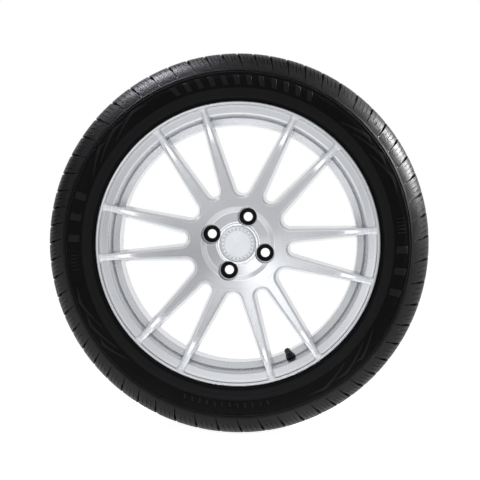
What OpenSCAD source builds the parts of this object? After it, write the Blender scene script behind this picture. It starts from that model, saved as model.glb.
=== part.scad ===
// All-season tyre mounted on a twelve-spoke cast alloy wheel.
// Built with the spin axis on Z and the styled face towards +Z, then stood up so that the
// spin axis lies on Y and the styled face looks towards -Y.

/* [Tyre] */
// Outer diameter of the tyre over the tread
tyre_od = 668.7; // [655:0.5:690]
// Width of the tyre over its sidewalls
section_w = 236; // [230:1:246]
// Height of the widest point as a share of the side's height
section_share = 0.505; // [0.45:0.005:0.56]
// Radius of the arc across the tread
crown_r = 1300; // [700:50:2600]
// Half width of the flat part of the tread
tread_half_w = 70; // [60:1:78]
// Height at which the tread blocks begin as a share of the side's height
shoulder_share = 0.694; // [0.66:0.002:0.72]
// Rubber thickness in the sidewall
sidewall_t = 8; // [6:0.5:12]
// Rubber and belt thickness under the tread grooves
undertread_t = 9; // [7:0.5:13]

/* [Tread pattern] */
// Number of pitches round each shoulder
pitch_count = 60; // [40:1:70]
// Depth of the tread grooves
groove_depth = 7.5; // [5:0.5:8.5]
// Width of the four grooves that run round the tread
rib_groove_w = 9; // [6:0.5:12]
// Distance from the centre to the inner pair of round grooves
inner_groove_z = 17; // [14:0.5:22]
// Distance from the centre to the outer pair of round grooves
outer_groove_z = 52; // [44:0.5:58]
// Width of the cross grooves on the shoulder
cross_groove_w = 4.4; // [3:0.1:5.5]
// Width of the thin tail of each cross groove
cross_tail_w = 1.8; // [1.2:0.1:2.6]
// Lean of the shoulder grooves seen from the side
cross_lean = 10; // [0:1:16]
// Sweep of the shoulder grooves across the tread
cross_sweep = 8; // [0:1:14]
// Width of the slots in the inner ribs
rib_slot_w = 2.2; // [1.4:0.1:3]
// Sweep of the slots in the inner ribs
rib_slot_sweep = 32; // [10:1:45]

/* [Sidewall] */
// Start of the decorated band as a share of the side's height
band_in_share = 0.382; // [0.36:0.002:0.42]
// Width of the plain ring between the band and the tread blocks
band_margin = 8.5; // [8:0.5:12]
// Height of the raised ornaments
relief_h = 0.8; // [0.4:0.1:1.4]
// Height of the two thin ribs outside the band
rib_line_h = 1; // [0.4:0.1:1.6]

/* [Rim] */
// Nominal bead seat diameter of the rim
seat_d = 457.2; // [455:0.1:459]
// Width between the flanges of the rim
rim_w = 203.2; // [200:0.1:206]
// Thickness of each flange
flange_t = 11.4; // [9:0.1:13]
// Height of each flange above its bead seat
flange_h = 17.4; // [16:0.1:18.4]
// Depth of the drop centre below the bead seats
well_depth = 15.7; // [14:0.1:20]
// Wall thickness of the barrel
barrel_t = 4.5; // [3.5:0.1:6]
// Depth of the barrel's rear inner wall below the bead seats
barrel_drop = 5.8; // [5.4:0.1:8]
// Width of the bright lip at the front flange
lip_w = 5.2; // [4:0.1:7]
// Depth of the sloping recess behind the front lip
recess_depth = 8.5; // [6:0.1:9.5]

/* [Spokes] */
// Number of twin spokes
pair_count = 6; // [5:1:7]
// Angle of the first twin spoke
pair_angle = -5; // [-30:1:30]
// Half angle of the narrow window inside a twin spoke
narrow_half = 10.7; // [9.7:0.1:11.5]
// Radius of the narrow window's inner tip
narrow_tip_r = 13.3; // [10:0.1:14]
// Distance from the axis to the narrow window's inner tip
narrow_tip_at = 87; // [84:0.5:92]
// Half angle of the wide window between twin spokes
wide_half = 24.1; // [23:0.1:25]
// Radius of the wide window's inner tip
wide_tip_r = 16.6; // [12:0.1:18]
// Distance from the axis to the wide window's inner tip
wide_tip_at = 84; // [82.5:0.5:90]
// Radius of the windows' outer corners
corner_r = 8; // [7:0.5:10]
// Width of the bevel along the spokes' edges
bevel_w = 3.8; // [0.8:0.1:4]
// Depth of the bevel along the spokes' edges
bevel_h = 2; // [1:0.1:3]
// Draft of the windows' walls in degrees
window_draft = 6; // [2:0.5:6.5]
// Radius at which the spoke faces bend
bend_r = 176; // [165:1:190]
// Height drop from the front lip to the bend
bend_drop = 5; // [3:0.5:10]
// Height drop from the bend to the hub face
hub_drop = 14; // [8:0.5:18]
// Depth of the spokes where they meet the hub
spoke_depth = 30; // [24:1:34]

/* [Hub] */
// Distance from the centre plane to the mounting face
offset_et = 38; // [32:1:44]
// Radius of the mounting pad
pad_r = 76; // [72:1:78]
// Radius of the hub bore
hub_bore_r = 30.05; // [29:0.05:31]
// Depth of the hub bore
hub_bore_l = 14; // [10:1:16]
// Depth of the room behind the hub bore for the centre cap's hooks
hook_room = 10; // [8:1:12]
// Radial relief of that room
bore_relief = 1.2; // [0.8:0.1:2]
// Outer radius of the hub's bevel
hub_bevel_out = 63.4; // [60:0.1:66]
// Inner radius of the hub's bevel
hub_bevel_in = 55; // [52:0.5:57]
// Depth of the recessed hub floor
hub_recess = 7; // [4:0.5:9]
// Radius of the raised collar round the centre cap
collar_r = 36; // [35.5:0.1:37]
// Height of the collar over the hub floor
collar_h = 4.5; // [2:0.5:6]
// Number of wheel bolts
bolt_count = 4; // [4:1:5]
// Diameter of the bolt circle
bolt_pcd = 100; // [98:1:108]
// Angle of the first bolt hole
bolt_angle = 70.5; // [0:0.5:90]
// Radius of the bolt holes
bolt_hole_r = 8; // [6.5:0.1:8.5]
// Radius of the bolt pockets
bolt_pocket_r = 16.8; // [15:0.1:17.4]
// Thickness of metal under the bolt seats
bolt_seat_t = 16; // [12:1:22]

/* [Centre cap] */
// Radius of the centre cap
cap_r = 31.5; // [30:0.1:32]
// Thickness of the cap's disc
cap_t = 5; // [4:0.5:7]
// Radius of the bore that the cap's legs clip through
cap_bore_r = 28; // [26:0.1:28.8]
// Number of clip legs
cap_legs = 8; // [6:1:10]
// Thickness of the clip legs
cap_leg_t = 1.8; // [1.4:0.1:2.4]
// Angle that each clip leg spans
cap_leg_angle = 24; // [16:1:30]
// Reach of the clip hooks behind the bore
cap_hook = 1.2; // [0.8:0.1:1.6]
// Radius of the spring ring's wire
cap_wire_r = 1; // [0.8:0.1:1.3]

/* [Valve] */
// Angle of the valve round the wheel
valve_angle = 295; // [294:0.5:296]
// Distance from the foot of the wall behind the lip down to the valve hole
valve_down = 0.8; // [0.4:0.1:3]
// Radius of the valve hole
valve_hole_r = 5.65; // [5.5:0.05:5.9]
// Radius of the rubber foot inside the tyre
valve_foot_r = 8.6; // [8:0.1:8.8]
// Thickness of the rubber foot
valve_foot_t = 3; // [2.5:0.1:3.6]
// Radius of the rubber shoulder outside the rim
valve_flare_r = 8.2; // [7.5:0.1:8.4]
// Length of the rubber body outside the rim
valve_rubber_l = 16; // [15:0.5:17]
// Length of the metal stem outside the rim
valve_stem_l = 25.5; // [24.5:0.5:26.5]
// Radius of the metal stem
stem_r = 3.85; // [3.6:0.05:4]
// Bore radius of the metal stem
stem_bore_r = 2.65; // [2.5:0.05:2.8]
// Outer radius of the valve cap
vcap_r = 5.1; // [4.8:0.05:5.4]
// Thickness of the valve cap's end
vcap_end_t = 1.4; // [1:0.1:2]
// Number of grip flutes round the valve cap
vcap_flutes = 12; // [8:1:16]
// Opening travel of the valve core's pin
core_travel = 1.5; // [1:0.1:2]
// Wire radius of the core's spring
core_wire_r = 0.2; // [0.15:0.01:0.25]
// Number of turns of the core's spring
core_turns = 6; // [4:1:8]

/* [Clearances] */
// Gap between the tyre's beads and the rim
bead_gap = 0.2; // [0.1:0.05:0.4]
// Gap round the centre cap
cap_gap = 0.2; // [0.1:0.05:0.4]
// Gap round the valve's rubber in its hole
valve_gap = 0.05; // [0.02:0.01:0.15]
// Gap between the valve cap and the stem
thread_gap = 0.08; // [0.05:0.01:0.15]
// Gap round the moving core pin
pin_gap = 0.1; // [0.06:0.01:0.2]

/* [Hidden] */
$fn = 96;

// Rim
seat_r = seat_d / 2;
flange_r = seat_r + flange_h;
rim_half = rim_w / 2;
front_z = rim_half + flange_t;
lip_r = flange_r - lip_w;
seat_taper = 0.0875;
seat_l = 18;
seat_end_r = seat_r - seat_taper * seat_l;
hump_h = 1.1;
hump_w = 5;
flange_edge = 2;
seat_fillet = 2.4;
lip_step = 2.8;
lip_step_w = 1;
lip_round = 1.2;
recess_w = 14.5;
recess_edge = 2;
well_lean = 33;
well_r = seat_r - well_depth;
well_inner_r = well_r - barrel_t;
barrel_r = seat_r - barrel_drop;
wall_top_r = seat_r - barrel_t - 0.5;
wall_top_z = front_z - recess_depth - recess_edge;
wall_foot_r = wall_top_r - 4.8;
wall_foot_z = rim_half - seat_l - 2.2;
well_back_z = 36;
rear_wall_l = 14;
rear_wall_edge = 2;

// Spokes
disc_out_r = lip_r;
bend_z = front_z - bend_drop;
hub_face_z = bend_z - hub_drop;
hub_flat_r = wide_tip_at - 5;
window_top_z = front_z + 12;
window_back_z = hub_face_z - spoke_depth - 8;
disc_overlap = 2;
disc_web_w = 6;
disc_root_drop = 5.2;

// Hub
hub_floor_z = hub_face_z - hub_recess;
collar_z = hub_floor_z + collar_h;
cap_seat_z = collar_z - cap_t;
bore_step_z = offset_et + hub_bore_l + hook_room;
bolt_seat_z = offset_et + bolt_seat_t;
bolt_r = bolt_pcd / 2;
bolt_cone_h = 8;
pocket_bevel = 0.8;

// Tyre
tyre_r = tyre_od / 2;
half_w = section_w / 2;
side_h = tyre_r - seat_r;
section_r = seat_r + side_h * section_share;
shoulder_r = seat_r + side_h * shoulder_share;
band_in_r = seat_r + side_h * band_in_share;
band_out_r = shoulder_r - band_margin;
ring_in_r = band_out_r + 0.5;
ring_out_r = shoulder_r - 2.5;
ring_edge_w = 1.6;
crevice_r = flange_r + 1.5;
bead_clear = 0.4;
bead_w = seat_l - bead_clear;
tread_drop = crown_r - sqrt(crown_r * crown_r - tread_half_w * tread_half_w);
tread_edge_r = tyre_r - tread_drop;
upper_bulge = 0.0175;
lower_bulge = 0.0045;
protector_r = crevice_r + 7;
pitch_start = 1.7;
pitch = 360 / pitch_count;
// Each wave of the pitch sequence: waves per turn, size in degrees, phase in degrees
pitch_waves = [[1, 1.55, 57], [2, 0.5, 29], [3, 2, -38], [4, 0.5, 94], [5, 1.05, 72]];

// Valve, along its own axis from the rim's surface
valve_tilt = -well_lean;
valve_at_r = wall_foot_r - valve_down;
valve_base_z = wall_foot_z - valve_down * tan(well_lean);
valve_spot_gap = 0.5;
valve_spot_l = 30;
valve_foot_gap = 0.6;
valve_neck_r = 6.4;
core_top = valve_stem_l - 0.3;
core_l = 9.5;
core_r = stem_bore_r - 0.1;
core_bore_r = 1.75;
core_neck = 1.2;
pin_r = 0.6;
core_bottom = core_top - core_l;
spring_low = core_bottom + core_neck;
spring_high = core_top - 2.2;
collar_t = 0.6;
seal_t = 1.2;
plunger_t = 1.4;
stem_foot = -valve_foot_t - barrel_t + 0.6;
vcap_low = valve_rubber_l + 0.6;
vcap_seal_t = 0.8;
vcap_seal_low = valve_stem_l + 0.3;
vcap_bore_top = vcap_seal_low + vcap_seal_t + 0.02;
vcap_top = vcap_bore_top + vcap_end_t;

// Helpers

// Points of an arc: centre, radius, start and end angle, number of steps
function arc(c, r, a0, a1, n) =
  [for (i = [0:n]) let (a = a0 + (a1 - a0) * i / n) [c[0] + r * cos(a), c[1] + r * sin(a)]];

// Point of a cubic curve through two ends with two handles
function cubic(a, b, c, d, t) =
  pow(1 - t, 3) * a + 3 * t * pow(1 - t, 2) * b + 3 * t * t * (1 - t) * c + pow(t, 3) * d;

function cubic_points(a, b, c, d, n) = [for (i = [1:n]) cubic(a, b, c, d, i / n)];

function mirrored(points) = [for (i = [len(points) - 1:-1:0]) [points[i][0], -points[i][1]]];

function polar(r, a) = r * [cos(a), sin(a)];

// Stands the part up: spin axis on Y, styled face towards -Y
module stand() rotate([90, 0, 0]) children();

module spun(points) rotate_extrude($fn = 180) polygon(points);

// Tyre

function side_z(r) =
  half_w - relief_h - (r > section_r ? upper_bulge : lower_bulge) * pow(r - section_r, 2);

function crown_point(z) = [tyre_r - crown_r + sqrt(crown_r * crown_r - z * z), z];

// Angle of tread pitch number i, with pitches that swell and shrink round the tyre
function pitch_at(i) =
  let (a = pitch_start + pitch * i)
  a + [for (w = pitch_waves) w[1] * sin(w[0] * a + w[2])] * [for (w = pitch_waves) 1];

// Thin rib that runs round the sidewall, with its outer foot at a radius
function rib_line(at) = [
  [at, side_z(at)],
  [at - ring_edge_w * 0.3, side_z(at) + rib_line_h],
  [at - ring_edge_w * 0.7, side_z(at) + rib_line_h],
  [at - ring_edge_w, side_z(at - ring_edge_w)]
];

shoulder_start = crown_point(tread_half_w);
shoulder_end = [shoulder_r, side_z(shoulder_r)];

outer_half = concat(
  [for (z = [0, tread_half_w / 2]) crown_point(z)],
  [shoulder_start],
  cubic_points(
    shoulder_start,
    shoulder_start + [-tread_half_w * 20 / crown_r, 20],
    shoulder_end + [14, -7],
    shoulder_end,
    7
  ),
  rib_line(ring_out_r),
  rib_line(ring_in_r + ring_edge_w),
  [for (r = [band_out_r - 5:-6:band_in_r + 2]) [r, side_z(r)]],
  [[band_in_r, side_z(band_in_r)], [band_in_r - 1, side_z(band_in_r) + 0.6]],
  [for (r = [band_in_r - 6:-5:protector_r]) [r, side_z(r) + 0.6]],
  [
    [protector_r - 3, side_z(protector_r) - 0.8],
    [protector_r - 5.5, side_z(protector_r) - 3.5],
    [crevice_r, front_z - 3],
    [flange_r + bead_gap, front_z - 6],
    [flange_r + bead_gap, rim_half + flange_edge],
    [flange_r - flange_edge + bead_gap, rim_half - bead_gap],
    [seat_r + seat_fillet + bead_gap, rim_half - bead_gap],
    [seat_r + bead_gap, rim_half - seat_fillet - bead_gap],
    [seat_r + bead_gap - seat_taper * (bead_w - seat_fillet), rim_half - bead_w]
  ]
);

inner_half = [
  [seat_r + bead_gap + 2, rim_half - bead_w - 1],
  [seat_r + 14, rim_half - bead_w + 5],
  [flange_r + 8, side_z(flange_r + 8) - sidewall_t - 4],
  [section_r - 12, half_w - sidewall_t],
  [section_r + 6, half_w - sidewall_t],
  [shoulder_r, side_z(shoulder_r) - sidewall_t - 2],
  [tyre_r - groove_depth - undertread_t - 8, tread_half_w + 20],
  [tyre_r - groove_depth - undertread_t - tread_drop, tread_half_w],
  [tyre_r - groove_depth - undertread_t, 0]
];

module round_groove(z) {
  top = crown_point(abs(z))[0];
  spun([
    [top - groove_depth, z - rib_groove_w * 0.35],
    [top + 2, z - rib_groove_w * 0.5],
    [top + 2, z + rib_groove_w * 0.5],
    [top - groove_depth, z + rib_groove_w * 0.35]
  ]);
}

// Blade that cuts a flat slot: outline in the plane of radius and axis, and its width
module blade(points, width)
  rotate([90, 0, 0]) linear_extrude(height = width, center = true) polygon(points);

// Groove across one shoulder: a wide part over the tread and a thin tail down the side
module shoulder_groove() {
  far_r = tyre_r + 12;
  floor_r = tread_edge_r - groove_depth + 1;
  translate([shoulder_r, 0, 0]) rotate([0, 0, cross_lean]) translate([-shoulder_r, 0, 0])
    rotate([cross_sweep, 0, 0]) {
      blade([
        [far_r, outer_groove_z],
        [floor_r, outer_groove_z],
        [floor_r - 2, tread_half_w + 8],
        [shoulder_r + 13, half_w - 21],
        [shoulder_r + 13, half_w + 30],
        [far_r, half_w + 30]
      ], cross_groove_w);
      blade([
        [shoulder_r + 15, half_w - 26],
        [shoulder_r + 15, half_w + 25],
        [shoulder_r - 0.5, half_w + 25],
        [shoulder_r - 0.5, half_w - 9]
      ], cross_tail_w);
    }
}

module rib_slot(z, length, depth)
  translate([tyre_r - depth, 0, z]) rotate([rib_slot_sweep, 0, 0])
    translate([0, -rib_slot_w / 2, -length / 2]) cube([depth + 6, rib_slot_w, length]);

module tread_grooves() {
  rib_w = outer_groove_z - inner_groove_z;
  for (z = [-outer_groove_z, -inner_groove_z, inner_groove_z, outer_groove_z]) round_groove(z);
  for (i = [0:pitch_count - 1]) {
    rotate([0, 0, pitch_at(i)]) shoulder_groove();
    rotate([0, 0, pitch_at(i + 0.5)]) mirror([0, 0, 1]) shoulder_groove();
    rotate([0, 0, pitch_at(i + 0.2)])
      rib_slot(inner_groove_z + rib_w * 0.42, rib_w * 0.95, groove_depth - 1.5);
    rotate([0, 0, pitch_at(i + 0.7)])
      rib_slot(-inner_groove_z - rib_w * 0.42, rib_w * 0.95, groove_depth - 1.5);
    rotate([0, 0, pitch_at(i + 0.45)]) rib_slot(inner_groove_z * 0.62, inner_groove_z * 0.7, 4);
  }
}

// Skin of the decorated band, as deep as the ornaments stand out
module band_skin() {
  rs = [for (r = [band_in_r + 1:3:band_out_r - 1]) r];
  spun(concat(
    [for (r = rs) [r, side_z(r) + relief_h]],
    [for (i = [len(rs) - 1:-1:0]) [rs[i], side_z(rs[i]) - 2]]
  ));
}

// Row of slanted bars between two angles
module bar_row(from, to, count, r0, r1, bar_w, slant)
  for (i = [0:count - 1])
    rotate([0, 0, from + (to - from) * i / (count - 1)])
      polygon([
        [r0, -bar_w / 2 - slant],
        [r1, -bar_w / 2 + slant],
        [r1, bar_w / 2 + slant],
        [r0, bar_w / 2 - slant]
      ]);

// Tapered slash: starts as a point, peaks at the outer edge and ends in a long thin tail
module slash(from, peak, to, r0, r1) {
  head_r = r0 + (r1 - r0) * 0.45;
  head_w = (r1 - r0) * 0.36;
  polygon([
    polar(head_r, from),
    polar((head_r + r1) / 2 + 1, (from + peak) / 2),
    polar(r1, peak),
    polar(r0 + (r1 - r0) * 0.55, peak + (to - peak) * 0.5),
    polar(r0 + 0.6, to),
    polar(r0, to),
    polar(r0 + (r1 - r0) * 0.35, peak + (to - peak) * 0.45),
    polar(r1 - head_w, peak)
  ]);
}

// Group of three slashes that starts at an angle
module slash_group(turn, r0, r1)
  rotate([0, 0, turn]) {
    slash(0, 6, 17.2, r0, r1);
    slash(9.8, 14.5, 27, r0, r1);
    slash(19.6, 22.3, 32.8, r0, r1);
  }

module ornament_outline() {
  r0 = band_in_r + 3;
  r1 = band_out_r - 1.5;
  // Long rows of bars over and under
  bar_row(64, 112, 12, r0 + 1, r1 - 2, 10, 2.5);
  bar_row(251, 281, 12, r0, r0 + 9, 3, 1);
  // Groups of broad bars at the two sides
  bar_row(163, 178, 3, r0, r1, 13, 0);
  bar_row(343, 358, 3, r0, r1, 13, 0);
  bar_row(184, 189, 5, r0 + 3, r1 - 3, 1.8, 0);
  bar_row(364, 369, 5, r0 + 3, r1 - 3, 1.8, 0);
  // Sweeping slashes between them
  for (turn = [17, 122.5, 194.5, 295.5]) slash_group(turn, r0, r1);
}

// Plain row of bars on the inner sidewall
module inner_ornament_outline() bar_row(251, 281, 12, band_in_r + 3, band_in_r + 13, 3, 1);

module sidewall_relief(inner = false)
  intersection() {
    band_skin();
    translate([0, 0, half_w - 14])
      linear_extrude(height = 30)
        if (inner) inner_ornament_outline();
        else ornament_outline();
  }

module tyre() {
  color([0.07, 0.07, 0.075])
    stand()
      difference() {
        union() {
          spun(concat(
            outer_half,
            inner_half,
            [for (i = [len(inner_half) - 2:-1:0]) [inner_half[i][0], -inner_half[i][1]]],
            [for (i = [len(outer_half) - 1:-1:1]) [outer_half[i][0], -outer_half[i][1]]]
          ));
          sidewall_relief();
          mirror([0, 0, 1]) sidewall_relief(inner = true);
        }
        tread_grooves();
      }
}

// Wheel

// Half of the rim's tyre side, from the flange's edge to the hump
rim_side = [
  [flange_r - flange_edge, front_z],
  [flange_r, front_z - flange_edge],
  [flange_r, rim_half + flange_edge],
  [flange_r - flange_edge, rim_half],
  [seat_r + seat_fillet, rim_half],
  [seat_r, rim_half - seat_fillet],
  [seat_end_r, rim_half - seat_l],
  [seat_end_r + hump_h, rim_half - seat_l - hump_w / 2],
  [seat_end_r, rim_half - seat_l - hump_w]
];

// Height of the sloping wall between the drop centre and the lip's wall
function wall_line_z(r) = wall_foot_z - (wall_foot_r - r) * tan(well_lean);

rim_profile = concat(
  rim_side,
  [
    [well_r, rim_half - seat_l - hump_w - (seat_end_r - well_r) * tan(well_lean)],
    [well_r, well_back_z],
    [barrel_r + barrel_t, well_back_z - rear_wall_l]
  ],
  mirrored(rim_side),
  [
    [barrel_r + 14, -front_z],
    [barrel_r + 1.5, -rim_half + 4],
    [barrel_r, -rim_half + 14],
    [barrel_r, well_back_z - rear_wall_l - rear_wall_edge],
    [well_inner_r, well_back_z - rear_wall_edge],
    [well_inner_r, wall_line_z(well_inner_r)],
    [wall_foot_r, wall_foot_z],
    [wall_top_r, wall_top_z],
    [lip_r - recess_w, front_z - recess_depth],
    [lip_r - lip_step_w - 0.6, front_z - lip_step - 0.4],
    [lip_r - 0.6, front_z - 0.4],
    [lip_r - 0.6 + lip_round, front_z]
  ]
);

// Height of the spoke face at a radius
function face_z(r) =
  r < hub_flat_r ? hub_face_z
  : r < bend_r
    ? hub_face_z + hub_drop * pow((r - hub_flat_r) / (bend_r - hub_flat_r), 1.25)
    : bend_z + (bend_drop - 0.4) * min(1, (r - bend_r) / (lip_r - bend_r));

// Hub and spoke disc before its windows are cut
disc_profile = concat(
  [
    [hub_bore_r, offset_et],
    [hub_bore_r, offset_et + hub_bore_l],
    [hub_bore_r + bore_relief, offset_et + hub_bore_l + bore_relief],
    [hub_bore_r + bore_relief, bore_step_z],
    [cap_bore_r, bore_step_z],
    [cap_bore_r, cap_seat_z],
    [cap_r + cap_gap, cap_seat_z],
    [cap_r + cap_gap, collar_z],
    [collar_r - 1, collar_z],
    [collar_r, collar_z - 1],
    [collar_r, hub_floor_z],
    [hub_bevel_in, hub_floor_z],
    [hub_bevel_out, hub_face_z]
  ],
  [for (r = [hub_flat_r, 104, 128, 155, bend_r, 210]) [r, face_z(r)]],
  [
    [disc_out_r, face_z(disc_out_r)],
    [disc_out_r, rim_half + disc_overlap],
    [seat_r, rim_half + disc_overlap],
    [seat_r - disc_overlap, rim_half - disc_overlap],
    [seat_r - disc_overlap, wall_foot_z + disc_overlap],
    [well_inner_r + disc_web_w, wall_line_z(well_inner_r + disc_web_w) - disc_overlap / 2],
    [well_inner_r - disc_overlap / 2, wall_foot_z - disc_root_drop],
    [pad_r + 18, hub_face_z - spoke_depth],
    [pad_r + 3, hub_face_z - spoke_depth - 3],
    [pad_r, offset_et]
  ]
);

// Outline of a window: straight sides, a round tip and round outer corners, grown by g
function window_outline(half, tip_r, tip_at, g) =
  let (
    tip_c = tip_at + tip_r,
    apex = tip_c - tip_r / sin(half),
    b = apex + corner_r / sin(half),
    rho = disc_out_r - corner_r,
    t = -b * cos(half) + sqrt(rho * rho - pow(b * sin(half), 2)),
    cc = [b + t * cos(half), t * sin(half)],
    phi = atan2(cc[1], cc[0]),
    side_a = cc + (corner_r + g) * [-sin(half), cos(half)],
    side_b = [tip_c, 0] + (tip_r + g) * [-sin(half), cos(half)],
    side = [for (i = [1:6]) side_a + (side_b - side_a) * i / 7],
    upper = concat(
      arc([0, 0], disc_out_r + g, 0, phi, half > 15 ? 5 : 3),
      [for (i = [1:4]) let (a = phi + (90 + half - phi) * i / 4)
        cc + (corner_r + g) * [cos(a), sin(a)]],
      side,
      arc([tip_c, 0], tip_r + g, 90 + half, 180, 5)
    )
  )
  concat(upper, [for (i = [len(upper) - 2:-1:1]) [upper[i][0], -upper[i][1]]]);

// Cutter for one window, with a bevel that follows the curved face and drafted walls
module window_cutter(half, tip_r, tip_at) {
  shrink = (front_z - window_back_z) * tan(window_draft);
  wide = window_outline(half, tip_r, tip_at, bevel_w);
  fit = window_outline(half, tip_r, tip_at, 0);
  back = window_outline(half, tip_r, tip_at, -shrink);
  n = len(fit);
  points = concat(
    [for (p = wide) [p[0], p[1], window_top_z]],
    [for (p = wide) [p[0], p[1], face_z(norm(p))]],
    [for (p = fit) [p[0], p[1], face_z(norm(p)) - bevel_h]],
    [for (p = back) [p[0], p[1], window_back_z]]
  );
  polyhedron(
    points = points,
    faces = concat(
      [[for (i = [n - 1:-1:0]) i]],
      [for (k = [0:2], i = [0:n - 1]) let (j = (i + 1) % n) [k * n + i, k * n + j, k * n + n + i]],
      [for (k = [0:2], i = [0:n - 1]) let (j = (i + 1) % n)
        [k * n + j, k * n + n + j, k * n + n + i]],
      [[for (i = [0:n - 1]) 3 * n + i]]
    )
  );
}

module windows() {
  step = 360 / pair_count;
  for (k = [0:pair_count - 1]) {
    rotate([0, 0, pair_angle + step * k]) window_cutter(narrow_half, narrow_tip_r, narrow_tip_at);
    rotate([0, 0, pair_angle + step * (k + 0.5)]) window_cutter(wide_half, wide_tip_r, wide_tip_at);
  }
}

// One bolt hole with its conical seat and its pocket
module bolt_hole() {
  translate([0, 0, offset_et - 1]) cylinder(r = bolt_hole_r, h = bolt_seat_t + 2);
  translate([0, 0, bolt_seat_z - bolt_cone_h])
    cylinder(r1 = bolt_hole_r, r2 = bolt_pocket_r - 2, h = bolt_cone_h);
  translate([0, 0, bolt_seat_z]) cylinder(r = bolt_pocket_r, h = front_z - bolt_seat_z);
  translate([0, 0, hub_floor_z - pocket_bevel])
    cylinder(r1 = bolt_pocket_r, r2 = bolt_pocket_r + pocket_bevel, h = pocket_bevel);
}

// Places children along the valve's axis, with zero at the rim's surface
module on_valve()
  rotate([0, 0, valve_angle]) translate([valve_at_r, 0, valve_base_z])
    rotate([0, valve_tilt, 0]) children();

module valve_hole()
  on_valve() {
    translate([0, 0, -barrel_t - 6]) cylinder(r = valve_hole_r, h = barrel_t + 12);
    translate([0, 0, -barrel_t - 6]) cylinder(r = valve_foot_r + valve_foot_gap, h = 6);
    cylinder(r = valve_flare_r + valve_spot_gap, h = valve_spot_l);
  }

module wheel() {
  color([0.78, 0.79, 0.8])
    stand()
      difference() {
        union() {
          spun(rim_profile);
          difference() {
            spun(disc_profile);
            windows();
          }
        }
        for (k = [0:bolt_count - 1])
          rotate([0, 0, bolt_angle + 360 / bolt_count * k]) translate([bolt_r, 0, 0]) bolt_hole();
        valve_hole();
      }
}

// Centre cap

module centre_cap() {
  leg_out = cap_bore_r - cap_gap;
  leg_in = leg_out - cap_leg_t;
  hook_z = bore_step_z - cap_gap;
  color([0.7, 0.71, 0.72])
    stand() {
      spun([
        [0, cap_seat_z + 0.2],
        [cap_r, cap_seat_z + 0.2],
        [cap_r, collar_z - 1],
        [cap_r - 1, collar_z],
        [cap_r - 3, collar_z + 0.2],
        [cap_r - 3.6, collar_z - 0.5],
        [cap_r - 8.2, collar_z - 0.5],
        [cap_r - 8.6, collar_z],
        [0, collar_z + 0.3]
      ]);
      for (k = [0:cap_legs - 1])
        rotate([0, 0, (k + 0.5) * 360 / cap_legs - cap_leg_angle / 2])
          rotate_extrude(angle = cap_leg_angle)
            polygon([
              [leg_in, cap_seat_z + 0.6],
              [leg_in, hook_z - 6],
              [leg_out, hook_z - 6],
              [leg_out + cap_hook, hook_z - 1.5],
              [leg_out + cap_hook, hook_z],
              [leg_out, hook_z],
              [leg_out, cap_seat_z + 0.6]
            ]);
    }
}

// Round wire ring that presses the cap's legs outwards
module centre_cap_ring() {
  ring_r = cap_bore_r - cap_gap - cap_leg_t - cap_wire_r;
  color([0.62, 0.62, 0.63])
    stand()
      rotate_extrude()
        translate([ring_r, bore_step_z - cap_gap - 2.5]) circle(r = cap_wire_r, $fn = 24);
}

// Valve

module turned(points, sides = 48) rotate_extrude($fn = sides) polygon(points);

// Rubber body that snaps into the rim
module valve_body() {
  neck_r = valve_hole_r - valve_gap;
  bore = stem_r + valve_gap;
  color([0.05, 0.05, 0.05])
    stand() on_valve()
      turned([
        [bore, -barrel_t - valve_foot_t],
        [valve_foot_r - 1, -barrel_t - valve_foot_t],
        [valve_foot_r, -barrel_t - valve_foot_t + 1],
        [valve_foot_r, -barrel_t - valve_gap],
        [neck_r, -barrel_t - valve_gap],
        [neck_r, valve_gap],
        [valve_flare_r, 0.3],
        [valve_flare_r, 3],
        [valve_flare_r - 1, 6],
        [valve_neck_r + 0.2, 9],
        [valve_neck_r, valve_rubber_l - 3],
        [valve_neck_r - 0.5, valve_rubber_l],
        [bore, valve_rubber_l]
      ]);
}

// Brass tube bonded in the rubber
module valve_stem()
  color([0.78, 0.62, 0.32])
    stand() on_valve()
      turned([
        [stem_bore_r, stem_foot],
        [stem_r, stem_foot],
        [stem_r, valve_stem_l - 0.5],
        [stem_r - 0.5, valve_stem_l],
        [stem_bore_r, valve_stem_l]
      ]);

module valve_core_body()
  color([0.8, 0.66, 0.36])
    stand() on_valve()
      turned([
        [pin_r + pin_gap, core_bottom],
        [core_r - 0.6, core_bottom],
        [core_r, core_bottom + 1],
        [core_r, core_top - 0.5],
        [core_bore_r, core_top - 0.5],
        [core_bore_r, spring_low],
        [pin_r + pin_gap, spring_low]
      ]);

// Sprung pin with a collar above the spring and a plunger under the seal
module valve_core_pin()
  color([0.75, 0.75, 0.76])
    stand() on_valve()
      turned([
        [0, core_bottom - seal_t - plunger_t],
        [1.5, core_bottom - seal_t - plunger_t],
        [1.8, core_bottom - seal_t - plunger_t + 0.4],
        [1.8, core_bottom - seal_t - 0.02],
        [pin_r, core_bottom - seal_t - 0.02],
        [pin_r, spring_high],
        [core_bore_r - pin_gap, spring_high],
        [core_bore_r - pin_gap, spring_high + collar_t],
        [pin_r, spring_high + collar_t],
        [pin_r, core_top],
        [0, core_top]
      ]);

module valve_core_seal()
  color([0.12, 0.12, 0.12])
    stand() on_valve()
      turned([
        [pin_r + 0.02, core_bottom - seal_t],
        [2.1, core_bottom - seal_t],
        [2.1, core_bottom - 0.3],
        [1.7, core_bottom - 0.02],
        [pin_r + 0.02, core_bottom - 0.02]
      ]);

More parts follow.
